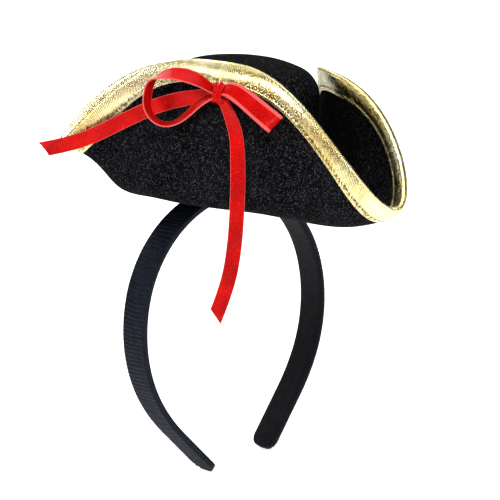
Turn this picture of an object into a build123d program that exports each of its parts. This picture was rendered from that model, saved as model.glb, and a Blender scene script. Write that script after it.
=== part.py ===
from build123d import *
from math import asin, cos, degrees, exp, pi, radians, sin, tan
import os

# A small felt tricorn hat on a sprung headband. Millimetres.
# The origin is the centre of the headband's top arc. +X is the wearer's left, -Y is forward, +Z is up.

# Headband
band_width = 15.0
arch_radius = 58.0  # centreline of the top arc
arch_angle = 72.4  # half of the top arc
shoulder_radius = 70.0
shoulder_angle = 46.5
cheek_radius = 94.0
cheek_angle = 11.6
leg_straight = 32.0
core_thickness = 1.6
cover_thickness = 0.8
lining_thickness = 0.8
leg_end_radius = 5.5
flex_angle = 62.0  # where each leg bends, from the top of the arc
flex_clearance = 0.3
flex_cover_gap = core_thickness / 2  # the cloth stops short of the flex line, clear of the leg's nose

# Hat placement on the headband
hat_roll = 11.0  # lean towards the wearer's left
hat_turn = -3.0
hat_slide = -10.0  # along the base disc, from where the band touches it
hat_forward = 9.5

# Crown and base
felt = 2.0
crown_radius = 35.5
crown_wall_top = 49.0
crown_top = 67.0
crown_edge_radius = 26.5  # where the top's dome starts
crown_edge_height = 62.5
disc_thickness = 1.5
disc_recess = 2.5  # how far up inside the crown the base disc sits
stiffener_thickness = 1.0
stiffener_height = 38.0
glue_depth = 2.0
glue_spread = 11.0  # from the line where the band touches the disc to each bead
glue_bead_width = 6.0
glue_bead_length = 10.0
glue_bead_corner = 2.0

# Brim: three flaps turned up between three corners
front_reach = 108.0
back_reach = 85.0
front_corner_height = 11.0
left_corner_height = 21.0
right_corner_height = 19.0
front_flap_height = 64.5
left_flap_height = 62.5
back_flap_height = 58.5
flap_radius = 37.0  # the rim's radius at the middle of a flap
reach_sharpness = 1.4
height_sharpness = 2.9
base_run = 18.5  # run of the brim before it turns up
base_rise = 1.07  # how far above the headband's arc that run aims, at the crown's foot
fold_bulge = 22.0  # how far a flap bows out past its rim
fold_height = 0.42  # height of the bow, as a share of the flap
front_keel_reach = 0.95  # where the front corner's keel turns up, as a share of its reach
front_keel_height = 0.3  # and how high, as a share of its height
back_keel_reach = 0.65
back_keel_height = 0.7
sections_per_flap = 18
corner_crowding = 0.7  # how much closer the sections stand at the corners

# Binding
binding_width = 11.0
binding_cloth = 0.7

# Bow of flat ribbon
ribbon_width = 7.0
ribbon_thickness = 0.5
bow_angle = -55.0
bow_drop = 15.5  # from the rim, down the flap
knot_width = 8.0
knot_height = 9.5
knot_depth = 5.0
knot_corner = 2.5
knot_edge = 1.5
knot_sink = 1.5  # how far below the felt's tangent the knot is filled in
loop_root_radius = 1.2
left_loop_length = 37.0
left_loop_radius = 8.0
left_loop_direction = 194.0
left_loop_lift = 15.0
left_loop_tilt = 48.0
right_loop_length = 31.0
right_loop_radius = 2.2
right_loop_direction = -24.0
right_loop_lift = 7.0
right_loop_tilt = 0.0
tack_radius = 0.6
tack_spacing = 3.0
tail_route = [
    (-28.8, -36.6, 114.5),
    (-29.7, -46.4, 103.4),
    (-33.3, -50.6, 87.4),
    (-35.3, -51.0, 69.4),
    (-37.0, -49.4, 48.4),
    (-40.0, -46.4, 29.3),
    (-44.3, -41.7, 15.2),
]
tail_across = (0.74, -0.67, 0.0)
side_route = [
    (-29.0, -36.0, 116.2),
    (-39.5, -15.6, 113.4),
    (-52.1, 2.3, 104.2),
    (-61.4, 14.0, 97.0),
    (-68.2, 25.8, 92.0),
    (-74.0, 38.5, 89.0),
]
side_across = (-0.05, 0.15, 0.99)

band_top_radius = arch_radius + core_thickness / 2 + cover_thickness
base_sag = crown_radius**2 / (2 * band_top_radius) - base_rise  # below the crown's foot


def placed_hat():
    """The hat's own plane: its origin is the middle of the brim's underside."""
    roll = radians(hat_roll)
    up = Vector(sin(roll), 0, cos(roll))
    along = Vector(cos(roll), 0, -sin(roll))
    rise = band_top_radius - disc_recess
    centre = up * rise + along * hat_slide + Vector(0, -hat_forward, 0)
    return Plane(origin=centre, x_dir=along, z_dir=up).rotated((0, 0, hat_turn))


hat_plane = placed_hat()
hat_axis = Axis(hat_plane.origin, hat_plane.z_dir)


def leaf_plane(angle):
    """The half plane through the hat's axis at an angle from the front corner: x is outward, y is up."""
    turn = radians(angle)
    outward = hat_plane.x_dir * sin(turn) - hat_plane.y_dir * cos(turn)
    return Plane(origin=hat_plane.origin, x_dir=outward, z_dir=outward.cross(hat_plane.z_dir))


def corner_share(angle, sharpness):
    """1 at a corner and 0 at the middle of a flap."""
    low = exp(-2 * sharpness)
    return (exp(sharpness * (cos(radians(3 * angle)) - 1)) - low) / (1 - low)


def corner_values(angle):
    """Reach and height of the nearest corner, and of its keel."""
    if abs(angle) < 60:
        keel = (front_reach * front_keel_reach, front_corner_height * front_keel_height)
        return front_reach, front_corner_height, keel
    height = left_corner_height if angle > 0 else right_corner_height
    return back_reach, height, (back_reach * back_keel_reach, height * back_keel_height)


def flap_height(angle):
    """Height of the middle of the flap that holds this angle, from -240 to 120 degrees."""
    if angle < -120:
        return back_flap_height
    return front_flap_height if angle < 0 else left_flap_height


def brim_controls(angle):
    """Bezier controls of the middle of the felt, outward and up."""
    nearest = angle + 360 if angle < -180 else angle
    reach, corner_height, keel = corner_values(nearest)
    share = corner_share(angle, reach_sharpness)
    rise_share = corner_share(angle, height_sharpness)
    height = flap_height(angle)
    rim = (flap_radius + (reach - flap_radius) * share, height + (corner_height - height) * rise_share)
    root = (crown_radius, felt / 2)
    level = (crown_radius + base_run * (1 + 0.5 * share), felt / 2 - base_sag)
    flap_bow = (flap_radius + fold_bulge, height * fold_height)
    bow = tuple(f + (k - f) * share for f, k in zip(flap_bow, keel))
    return root, level, bow, rim


def brim_point(angle, t):
    """A point on the middle of the felt, outward and up, from the crown (t = 0) to the rim (t = 1)."""
    weights = ((1 - t) ** 3, 3 * t * (1 - t) ** 2, 3 * t * t * (1 - t), t**3)
    controls = brim_controls(angle)
    return tuple(sum(w * c[i] for w, c in zip(weights, controls)) for i in (0, 1))


def brim_place(angle, t):
    """The same point in space."""
    outward, up = brim_point(angle, t)
    return leaf_plane(angle).from_local_coords(Vector(outward, up, 0))


def brim_normal(angle, t):
    """The felt's normal there, pointing out and down."""
    step = 0.002
    low, high = max(t - step, 0.0), min(t + step, 1.0)
    along = brim_place(angle, high) - brim_place(angle, low)
    around = brim_place(angle + 0.2, t) - brim_place(angle - 0.2, t)
    return around.cross(along).normalized()


def brim_share(angle, from_rim):
    """The t that lies a given length down from the rim."""
    steps = 200
    length = 0.0
    last = brim_place(angle, 1.0)
    for i in range(steps - 1, 0, -1):
        place = brim_place(angle, i / steps)
        length += (place - last).length
        if length >= from_rim:
            return i / steps
        last = place
    return 0.0


def section_angles():
    """Angles of the brim's sections, closer together at the three corners."""
    turns = [i / sections_per_flap for i in range(3 * sections_per_flap)]
    return [120 * (u - corner_crowding * sin(2 * pi * u) / (2 * pi)) - 240 for u in turns]


def between(rings):
    """Triangles that join each ring of points to the next."""
    faces = []
    for here, there in zip(rings, rings[1:]):
        for i in range(len(here)):
            a, b, c, d = here[i - 1], here[i], there[i], there[i - 1]
            if (a - c).length < (b - d).length:
                corners = ((a, b, c), (a, c, d))
            else:
                corners = ((b, c, d), (b, d, a))
            faces += [Face(Wire.make_polygon(three)) for three in corners]
    return faces


def end_cap(ring):
    """Triangles that close the end of a flat ring, whose second half of points lies under its first."""
    faces = []
    for i in range(len(ring) // 2 - 1):
        a, b, c, d = ring[i], ring[i + 1], ring[-2 - i], ring[-1 - i]
        faces += [Face(Wire.make_polygon(three)) for three in ((a, b, c), (a, c, d))]
    return faces


def brim_shares(angle):
    """Shares of the brim's points: a few up to the binding, then the binding's own."""
    edge = brim_share(angle, binding_width)
    return [edge * i / 6 for i in range(6)], [edge + (1 - edge) * i / 2 for i in range(3)]


def brim_rings():
    """The felt's sections all round the hat, from one back corner."""
    rings = []
    for angle in section_angles():
        bare, bound = brim_shares(angle)
        ledge = leaf_plane(angle).from_local_coords(Vector(crown_radius - felt, felt / 2, 0))
        middle = [(ledge, hat_plane.z_dir * (-felt / 2))]
        middle += [(brim_place(angle, t), brim_normal(angle, t) * (felt / 2)) for t in bare + bound]
        rings.append([p + n for p, n in middle] + [p - n for p, n in reversed(middle)])
    return rings + rings[:1]


def build_flap(rings, number):
    """One flap of the felt brim, of constant thickness, from corner to corner."""
    own = rings[number * sections_per_flap : (number + 1) * sections_per_flap + 1]
    with BuildPart() as flap:
        add(Solid(Shell(between(own) + end_cap(own[0]) + end_cap(own[-1]))))
    return flap


def build_binding():
    """Metallic cloth folded over the brim's edge, lying on the felt on both sides."""
    rings = []
    for angle in section_angles():
        bound = brim_shares(angle)[1]
        middle = [(brim_place(angle, t), brim_normal(angle, t)) for t in bound]
        inner = [p + n * (felt / 2) for p, n in middle] + [p - n * (felt / 2) for p, n in reversed(middle)]
        rim = (middle[-1][0] - middle[-2][0]).normalized() * binding_cloth
        half = felt / 2 + binding_cloth
        outer = [p + n * half for p, n in middle[:-1]] + [middle[-1][0] + rim + middle[-1][1] * half]
        outer += [middle[-1][0] + rim - middle[-1][1] * half]
        outer += [p - n * half for p, n in reversed(middle[:-1])]
        rings.append(outer + list(reversed(inner)))
    with BuildPart() as binding:
        add(Solid(Shell(between(rings + rings[:1]))))
    return binding


def crown_section(inset):
    """Half of the crown's section, drawn inset from its outside: wall, round edge, spherical top."""
    rise = crown_top - crown_edge_height
    sphere = (crown_edge_radius**2 + rise**2) / (2 * rise)
    slope = asin(crown_edge_radius / sphere)
    centre, reach = crown_top - sphere, sphere - inset
    edge = (reach * sin(slope), centre + reach * cos(slope))
    with BuildSketch(leaf_plane(0)) as section:
        with BuildLine():
            wall = Line((crown_radius - inset, felt), (crown_radius - inset, crown_wall_top))
            TangentArc(wall @ 1, edge, tangent=wall % 1)
            middle = (reach * sin(slope / 2), centre + reach * cos(slope / 2))
            ThreePointArc(edge, middle, (0, centre + reach))
            Polyline((0, centre + reach), (0, felt), wall @ 0)
        make_face()
    return section.sketch


def build_crown():
    """Domed felt crown, open below."""
    with BuildPart() as crown:
        revolve(crown_section(0) - crown_section(felt), axis=hat_axis)
    return crown


def build_disc():
    """Felt disc that closes the crown from below and carries the glue."""
    with BuildPart() as disc:
        with BuildSketch(hat_plane.offset(disc_recess)):
            Circle(crown_radius - felt)
        extrude(amount=disc_thickness)
    return disc


def build_stiffener():
    """Buckram ring that keeps the crown's wall upright."""
    inside = crown_radius - felt
    with BuildPart() as stiffener:
        with BuildSketch(hat_plane.offset(disc_recess + disc_thickness)):
            Circle(inside)
            Circle(inside - stiffener_thickness, mode=Mode.SUBTRACT)
        extrude(amount=stiffener_height)
    return stiffener


def band_path(start_angle, trim=0.0):
    """The left leg's centreline from an angle on the top arc to a little short of its end."""
    with BuildLine(Plane.XZ) as path:
        arch = CenterArc((0, 0), arch_radius, 90 - start_angle, start_angle - arch_angle)
        shoulder = JernArc(arch @ 1, arch % 1, shoulder_radius, -shoulder_angle)
        cheek = JernArc(shoulder @ 1, shoulder % 1, cheek_radius, -cheek_angle)
        Line(cheek @ 1, cheek @ 1 + (cheek % 1) * (leg_straight - trim))
    return path


def band_section(path, low, high, width):
    """A flat section across the start of a path, from low to high outside its centreline."""
    tangent = path.line % 0
    with BuildSketch(Plane(origin=path.line @ 0, x_dir=(0, 1, 0), z_dir=tangent)) as section:
        with Locations((0, (low + high) / 2)):
            Rectangle(width, high - low)
    return section.sketch


core_width = band_width - 2 * cover_thickness
core_low, core_high = -core_thickness / 2, core_thickness / 2
cover_high = core_high + cover_thickness
lining_low = core_low - lining_thickness
gap_angle = degrees(flex_cover_gap / arch_radius)
flex_x = arch_radius * sin(radians(flex_angle))
flex_z = arch_radius * cos(radians(flex_angle))
flex_plane = Plane(origin=(flex_x, core_width / 2, flex_z), z_dir=(0, -1, 0))


def build_core_left():
    """Springy plastic core of the left leg, with a round nose at the flex line and a rounded tip."""
    path = band_path(flex_angle, cover_thickness)
    with BuildPart() as core:
        sweep(band_section(path, core_low, core_high, core_width), path=path.line)
        tip = core.faces().sort_by(Axis(path.line @ 1, path.line % 1))[-1]
        fillet(tip.edges().filter_by(Axis.Y, reverse=True), leg_end_radius - cover_thickness)
        with BuildSketch(flex_plane):
            Circle(core_thickness / 2)
        extrude(amount=core_width)
    return core


def build_strip_left(low, high, width):
    """A strip along the left leg, from just past the flex line to a rounded tip."""
    path = band_path(flex_angle + gap_angle)
    with BuildPart() as strip:
        sweep(band_section(path, low, high, width), path=path.line)
        tip = strip.faces().sort_by(Axis(path.line @ 1, path.line % 1))[-1]
        fillet(tip.edges().filter_by(Axis.Y, reverse=True), leg_end_radius)
    return strip


def arch_strip(low, high, half_angle, width):
    """A strip over the top arc."""
    with BuildPart() as strip:
        with BuildSketch(Plane.XZ):
            Circle(arch_radius + high)
            Circle(arch_radius + low, mode=Mode.SUBTRACT)
            with BuildLine():
                reach = 2 * arch_radius
                turn = radians(half_angle)
                Polyline(
                    (0, 0),
                    (reach * sin(turn), reach * cos(turn)),
                    (reach * sin(turn), reach),
                    (-reach * sin(turn), reach),
                    (-reach * sin(turn), reach * cos(turn)),
                    close=True,
                )
            make_face(mode=Mode.INTERSECT)
        extrude(amount=width / 2, both=True)
    return strip


def build_core_top():
    """Core under the hat, with a hollow at each end for the leg's nose."""
    core = arch_strip(core_low, core_high, flex_angle, core_width)
    with BuildPart() as top:
        add(core.part)
        for side in (-1, 1):
            with BuildSketch(Plane(origin=(side * flex_x, core_width / 2, flex_z), z_dir=(0, -1, 0))):
                Circle(core_thickness / 2 + flex_clearance)
            extrude(amount=core_width, mode=Mode.SUBTRACT)
    return top


def covered(strip, core):
    """A cover folded round a core: the strip less the core."""
    with BuildPart() as cover:
        add(strip.part)
        add(core.part, mode=Mode.SUBTRACT)
    return cover


def mirrored(part):
    """The right-hand copy of a left-hand piece."""
    with BuildPart() as copy:
        mirror(part.part, about=Plane.YZ)
    return copy


def build_glue():
    """Two beads of glue that fill the wedge between the base disc and the band."""
    roll = radians(hat_roll)
    away = Vector(sin(roll), 0, cos(roll))
    touch = away * (arch_radius + cover_high)
    bead_plane = Plane(origin=touch, x_dir=(cos(roll), 0, -sin(roll)), z_dir=away)
    with BuildPart() as glue:
        with BuildSketch(bead_plane.offset(-glue_depth)):
            with Locations((-glue_spread, 0), (glue_spread, 0)):
                RectangleRounded(glue_bead_width, glue_bead_length, glue_bead_corner)
        extrude(amount=glue_depth)
        with BuildSketch(Plane.XZ):
            Circle(arch_radius + cover_high)
        extrude(amount=band_width, both=True, mode=Mode.SUBTRACT)
    return glue


def bow_frame():
    """The bow's plane on the flap: x towards the wearer's left, y up the flap, z out of it."""
    share = brim_share(bow_angle, bow_drop)
    out = brim_normal(bow_angle, share)
    foot = brim_place(bow_angle, share) + out * (felt / 2)
    return Plane(origin=foot, x_dir=leaf_plane(bow_angle).z_dir * -1, z_dir=out)


bow_plane = bow_frame()


def build_knot(flap, binding):
    """The bow's knot, pressed against the flap."""
    with BuildPart() as knot:
        with BuildSketch(bow_plane.offset(-knot_sink)):
            RectangleRounded(knot_width, knot_height, knot_corner)
        extrude(amount=knot_depth + knot_sink)
        fillet(knot.faces().sort_by(Axis(bow_plane.origin, bow_plane.z_dir))[-1].edges(), knot_edge)
        add(flap.part, mode=Mode.SUBTRACT)
        add(binding.part, mode=Mode.SUBTRACT)
    return knot


def loop_plane(direction, lift, tilt):
    """A plane for a loop's outline: x along the loop, y across its opening."""
    turn, rise, lean = radians(direction), radians(lift), radians(tilt)
    flat = bow_plane.x_dir * cos(turn) + bow_plane.y_dir * sin(turn)
    along = flat * cos(rise) + bow_plane.z_dir * sin(rise)
    sideways = bow_plane.z_dir.cross(flat).normalized()
    outward = along.cross(sideways).normalized()
    opening = outward * cos(lean) + sideways * sin(lean)
    origin = bow_plane.origin + bow_plane.z_dir * knot_depth / 2
    return Plane(origin=origin, x_dir=along, z_dir=along.cross(opening))


def build_loop(plane, length, radius):
    """A ribbon loop: a teardrop outline of one ribbon's thickness, as wide as the ribbon."""
    with BuildPart() as loop:
        with BuildSketch(plane):
            with Locations((loop_root_radius, 0)):
                Circle(loop_root_radius)
            with Locations((length - radius, 0)):
                Circle(radius)
            make_hull()
            offset(amount=-ribbon_thickness, mode=Mode.SUBTRACT)
        extrude(amount=ribbon_width / 2, both=True)
    return loop


def corner_radii(route):
    """The largest easy arc at each corner of a route."""
    radii = []
    for before, at, after in zip(route, route[1:], route[2:]):
        arriving, leaving = Vector(at) - Vector(before), Vector(after) - Vector(at)
        half_turn = radians(arriving.get_angle(leaving)) / 2
        radii.append(0.45 * min(arriving.length, leaving.length) / tan(half_turn))
    return radii


def build_tail(route, across, name):
    """A free tail of flat ribbon along its route."""
    radii = corner_radii(route)
    with BuildLine() as path:
        FilletPolyline(*route, radius=radii)
    tangent = path.line % 0
    width_dir = Vector(across) - tangent * tangent.dot(Vector(across))
    with BuildPart() as tail:
        with BuildSketch(Plane(origin=path.line @ 0, x_dir=width_dir, z_dir=tangent)):
            Rectangle(ribbon_width, ribbon_thickness)
        sweep(path=path.line)
    length = path.wires()[0].length
    drawn = ribbon_width * ribbon_thickness * length
    print(name, "radii", [round(r, 1) for r in radii], "length", round(length, 1))
    print(name, "volume", round(tail.part.volume, 1), "section times length", round(drawn, 1))
    return tail


def build_bow_tack():
    """Thread that holds the knot to the flap."""
    with BuildPart() as tack:
        with BuildSketch(bow_plane.offset(-felt)):
            with Locations((-tack_spacing / 2, 0), (tack_spacing / 2, 0)):
                Circle(tack_radius)
        extrude(amount=felt + knot_depth / 2)
    return tack


def write(part, name):
    """Labels a piece and writes its file."""
    part.part.label = name
    export_step(part.part, f"parts/{name}.step")


def build_band():
    """The headband's pieces by name."""
    core_top = build_core_top()
    top_reach = flex_angle - gap_angle
    core_left = build_core_left()
    cover_top = covered(arch_strip(core_low, cover_high, top_reach, band_width), core_top)
    cover_left = covered(build_strip_left(core_low, cover_high, band_width), core_left)
    lining_left = build_strip_left(lining_low, core_low, band_width)
    return {
        "band_core_top": core_top,
        "band_cover_top": cover_top,
        "band_lining_top": arch_strip(lining_low, core_low, top_reach, band_width),
        "band_core_left": core_left,
        "band_cover_left": cover_left,
        "band_lining_left": lining_left,
        "band_core_right": mirrored(core_left),
        "band_cover_right": mirrored(cover_left),
        "band_lining_right": mirrored(lining_left),
    }


def build_hat():
    """The hat's own pieces by name."""
    rings = brim_rings()
    return {
        "base_disc": build_disc(),
        "glue_beads": build_glue(),
        "crown_shell": build_crown(),
        "crown_stiffener": build_stiffener(),
        "brim_back": build_flap(rings, 0),
        "brim_front": build_flap(rings, 1),
        "brim_left": build_flap(rings, 2),
        "brim_binding": build_binding(),
    }


def build_bow(flap, binding):
    """The bow's pieces by name."""
    knot = build_knot(flap, binding)
    left = loop_plane(left_loop_direction, left_loop_lift, left_loop_tilt)
    right = loop_plane(right_loop_direction, right_loop_lift, right_loop_tilt)
    return {
        "bow_knot": knot,
        "bow_loop_left": build_loop(left, left_loop_length, left_loop_radius),
        "bow_loop_right": build_loop(right, right_loop_length, right_loop_radius),
        "bow_tack": build_bow_tack(),
        "ribbon_tail_hanging": build_tail(tail_route, tail_across, "hanging tail"),
        "ribbon_tail_side": build_tail(side_route, side_across, "side tail"),
    }


os.makedirs("parts", exist_ok=True)
pieces = build_band()
pieces.update(build_hat())
pieces.update(build_bow(pieces["brim_front"], pieces["brim_binding"]))
for piece_name, piece in pieces.items():
    write(piece, piece_name)
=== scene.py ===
from math import asin, cos, pi, radians, sin, tau

import bmesh
import bpy
import numpy as np
from mathutils import Matrix, Vector


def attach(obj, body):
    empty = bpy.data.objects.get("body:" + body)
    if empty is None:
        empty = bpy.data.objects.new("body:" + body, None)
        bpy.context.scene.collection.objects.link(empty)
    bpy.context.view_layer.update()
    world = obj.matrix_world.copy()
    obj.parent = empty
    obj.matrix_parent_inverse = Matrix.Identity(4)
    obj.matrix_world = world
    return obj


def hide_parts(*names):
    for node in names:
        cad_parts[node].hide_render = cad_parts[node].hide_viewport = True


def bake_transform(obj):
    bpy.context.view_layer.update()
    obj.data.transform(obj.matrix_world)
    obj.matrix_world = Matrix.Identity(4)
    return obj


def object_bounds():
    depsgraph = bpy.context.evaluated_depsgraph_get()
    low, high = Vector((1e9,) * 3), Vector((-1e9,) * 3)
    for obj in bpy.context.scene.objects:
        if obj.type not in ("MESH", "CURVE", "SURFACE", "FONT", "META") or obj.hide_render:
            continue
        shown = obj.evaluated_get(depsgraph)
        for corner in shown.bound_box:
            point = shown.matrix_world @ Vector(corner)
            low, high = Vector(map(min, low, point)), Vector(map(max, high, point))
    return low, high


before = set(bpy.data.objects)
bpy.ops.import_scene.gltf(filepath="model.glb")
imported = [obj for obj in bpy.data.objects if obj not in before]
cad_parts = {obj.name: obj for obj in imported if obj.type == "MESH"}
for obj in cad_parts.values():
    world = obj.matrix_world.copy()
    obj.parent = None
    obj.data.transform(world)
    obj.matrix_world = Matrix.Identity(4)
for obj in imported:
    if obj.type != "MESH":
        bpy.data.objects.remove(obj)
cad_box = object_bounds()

# A small felt tricorn hat on a satin-covered headband. The scene is in metres; the sizes here are in
# millimetres. +X is the wearer's left, -Y is forward, +Z is up, and the origin is the centre of the
# headband's top arc.
MM = 0.001

# Headband, as in the CAD
ARCH_RADIUS, ARCH_ANGLE = 58.0, 72.4
SHOULDER_RADIUS, SHOULDER_ANGLE = 70.0, 46.5
CHEEK_RADIUS, CHEEK_ANGLE = 94.0, 11.6
LEG_STRAIGHT = 32.0
BAND_WIDTH = 15.0
CORE, COVER, LINING = 1.6, 0.8, 0.8
LEG_END_RADIUS = 5.5
FLEX_ANGLE = 62.0
FLEX_REACH = 10.0  # a length on each side of the flex line

# Hat, as in the CAD, with the sag rounded to a tenth
HAT_ROLL, HAT_TURN, HAT_SLIDE, HAT_FORWARD = 11.0, -3.0, -10.0, 9.5
FELT = 2.0
CROWN_RADIUS, CROWN_WALL_TOP, CROWN_TOP = 35.5, 49.0, 67.0
CROWN_EDGE_RADIUS, CROWN_EDGE_HEIGHT = 26.5, 62.5
DISC_RECESS = 2.5
FRONT_REACH, BACK_REACH = 108.0, 85.0
FRONT_CORNER, LEFT_CORNER, RIGHT_CORNER = 11.0, 21.0, 19.0
FRONT_FLAP, LEFT_FLAP, BACK_FLAP = 64.5, 62.5, 58.5
FLAP_RADIUS = 37.0
REACH_SHARPNESS, HEIGHT_SHARPNESS = 1.4, 2.9
BASE_RUN, BASE_SAG = 18.5, 9.5
FOLD_BULGE, FOLD_HEIGHT = 22.0, 0.42
FRONT_KEEL = (0.95, 0.3)  # where the keel turns up, as shares of the corner's reach and height
BACK_KEEL = (0.65, 0.7)
CORNER_CROWDING = 0.7
BINDING_WIDTH = 11.0
BOW_ANGLE, BOW_DROP = -55.0, 15.5
RIBBON_WIDTH = 7.0


# ---------------------------------------------------------------- camera

CAMERA_AZIMUTH, CAMERA_ELEVATION, CAMERA_ROLL = -41.79, 17.83, 3.19
CAMERA_DISTANCE = 1172.7
CAMERA_TARGET = (0.0, 0.0, -10.0)
CAMERA_LENS = 173.35
CAMERA_SHIFT = (0.0448, 0.1553)


def make_camera():
    """A long lens, a little above the hat, from the wearer's front right."""
    azimuth, elevation, roll = (radians(a) for a in (CAMERA_AZIMUTH, CAMERA_ELEVATION, CAMERA_ROLL))
    back = Vector((sin(azimuth) * cos(elevation), -cos(azimuth) * cos(elevation), sin(elevation)))
    level = Vector((cos(azimuth), sin(azimuth), 0))
    upright = back.cross(level)
    right = level * cos(roll) - upright * sin(roll)
    up = level * sin(roll) + upright * cos(roll)
    data = bpy.data.cameras.new("camera")
    data.lens = CAMERA_LENS
    data.shift_x, data.shift_y = CAMERA_SHIFT
    data.clip_end = 20.0
    camera = bpy.data.objects.new("camera", data)
    bpy.context.scene.collection.objects.link(camera)
    turn = Matrix((right, up, back)).transposed().to_4x4()
    camera.matrix_world = Matrix.Translation((Vector(CAMERA_TARGET) + back * CAMERA_DISTANCE) * MM) @ turn
    bpy.context.scene.camera = camera


# ---------------------------------------------------------------- meshes

def unit(vectors):
    return vectors / np.maximum(np.linalg.norm(vectors, axis=-1, keepdims=True), 1e-12)


def waves(phase, count, shortest, longest, seed):
    """Smooth seeded noise along one or more directions: phase is a list of (coordinate, sway) pairs."""
    rng = np.random.default_rng(seed)
    total = 0
    for _ in range(count):
        length = shortest * (longest / shortest) ** rng.random()
        angle = rng.random() * tau
        weights = rng.uniform(-1, 1, len(phase))
        total = total + np.sin(angle + tau / length * sum(w * s * c for w, (c, s) in zip(weights, phase)))
    return total / count ** 0.5


def skin(name, points, around=False, across=False, caps=False, uv=None):
    """A mesh over a grid of points in millimetres, closed each way where asked. caps closes the ends of a
    flat tube whose second half of points lies under its first."""
    rows, cols = points.shape[:2]
    i, j = np.meshgrid(
        np.arange(rows if around else rows - 1), np.arange(cols if across else cols - 1), indexing="ij"
    )
    i2, j2 = (i + 1) % rows, (j + 1) % cols
    faces = np.stack([i * cols + j, i2 * cols + j, i2 * cols + j2, i * cols + j2], -1).reshape(-1, 4)
    corner_uv = None
    if uv is not None:
        corner_uv = np.stack([uv[i, j], uv[i + 1, j], uv[i + 1, j + 1], uv[i, j + 1]], -2).reshape(-1, 4, 2)
    if caps:
        k = np.arange(cols // 2 - 1)
        ring = np.stack([k, k + 1, cols - 2 - k, cols - 1 - k], -1)
        ends = np.concatenate([ring, ring[:, ::-1] + (rows - 1) * cols])
        faces = np.concatenate([faces, ends])
        if uv is not None:
            flat = uv[:rows, :cols].reshape(-1, 2)
            corner_uv = np.concatenate([corner_uv, flat[ends]])
    mesh = bpy.data.meshes.new(name)
    mesh.from_pydata((points.reshape(-1, 3) * MM).tolist(), [], faces.tolist())
    if uv is not None:
        layer = mesh.uv_layers.new(name="UVMap")
        layer.uv.foreach_set("vector", (corner_uv * MM).astype(np.float32).ravel())
    return tidy(name, mesh)


def tidy(name, mesh):
    """An object of a mesh with doubles merged, faces turned outward and smooth shading."""
    work = bmesh.new()
    work.from_mesh(mesh)
    bmesh.ops.remove_doubles(work, verts=work.verts, dist=1e-7)
    bmesh.ops.recalc_face_normals(work, faces=work.faces)
    work.to_mesh(mesh)
    work.free()
    mesh.polygons.foreach_set("use_smooth", np.ones(len(mesh.polygons), bool))
    obj = bpy.data.objects.new(name, mesh)
    bpy.context.scene.collection.objects.link(obj)
    return obj


def grid_uv(along, over):
    """UVs in millimetres from a length along each row and a length over each column."""
    return np.stack(np.meshgrid(along, over, indexing="ij"), -1)


def nurbs(points, order=3, resolution=16):
    """Points read from one smooth NURBS spline with these control points."""
    curve = bpy.data.curves.new("route", "CURVE")
    curve.dimensions = "3D"
    spline = curve.splines.new("NURBS")
    spline.points.add(len(points) - 1)
    for control, point in zip(spline.points, points):
        control.co = (*point, 1)
    spline.order_u = order
    spline.use_endpoint_u = True
    spline.resolution_u = resolution
    holder = bpy.data.objects.new("route", curve)
    bpy.context.scene.collection.objects.link(holder)
    mesh = bpy.data.meshes.new_from_object(holder)
    found = np.array([v.co for v in mesh.vertices], float)
    bpy.data.objects.remove(holder)
    bpy.data.curves.remove(curve)
    bpy.data.meshes.remove(mesh)
    return found


def evenly(points, step, *others):
    """A line and anything that goes with it, resampled at even lengths, and those lengths."""
    runs = np.linalg.norm(np.diff(points, axis=0), axis=1)
    at = np.concatenate([[0], np.cumsum(runs)])
    want = np.linspace(0, at[-1], max(int(at[-1] / step), 2) + 1)
    lines = (points, *others)
    return [want] + [np.stack([np.interp(want, at, a[:, k]) for k in range(3)], -1) for a in lines]


# ---------------------------------------------------------------- brim surface

def turned(vector):
    """A direction turned with the hat about the vertical."""
    turn = radians(HAT_TURN)
    x, y, z = vector
    return np.array([x * cos(turn) - y * sin(turn), x * sin(turn) + y * cos(turn), z])


ROLL = radians(HAT_ROLL)
RISE = ARCH_RADIUS + CORE / 2 + COVER - DISC_RECESS
HAT_ORIGIN = np.array([
    sin(ROLL) * RISE + cos(ROLL) * HAT_SLIDE,
    -HAT_FORWARD,
    cos(ROLL) * RISE - sin(ROLL) * HAT_SLIDE,
])
HAT_X = turned((cos(ROLL), 0, -sin(ROLL)))
HAT_Z = turned((sin(ROLL), 0, cos(ROLL)))
HAT_Y = np.cross(HAT_Z, HAT_X)


def on_hat(angle, outward, up):
    """Places from an angle from the front corner in degrees, a reach from the hat's axis and a height."""
    turn = np.radians(angle)[..., None]
    heading = HAT_X * np.sin(turn) - HAT_Y * np.cos(turn)
    return HAT_ORIGIN + heading * outward[..., None] + HAT_Z * up[..., None]


def corner_share(angle, sharpness):
    """1 at a corner and 0 at the middle of a flap."""
    low = np.exp(-2 * sharpness)
    return (np.exp(sharpness * (np.cos(np.radians(3 * angle)) - 1)) - low) / (1 - low)


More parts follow.
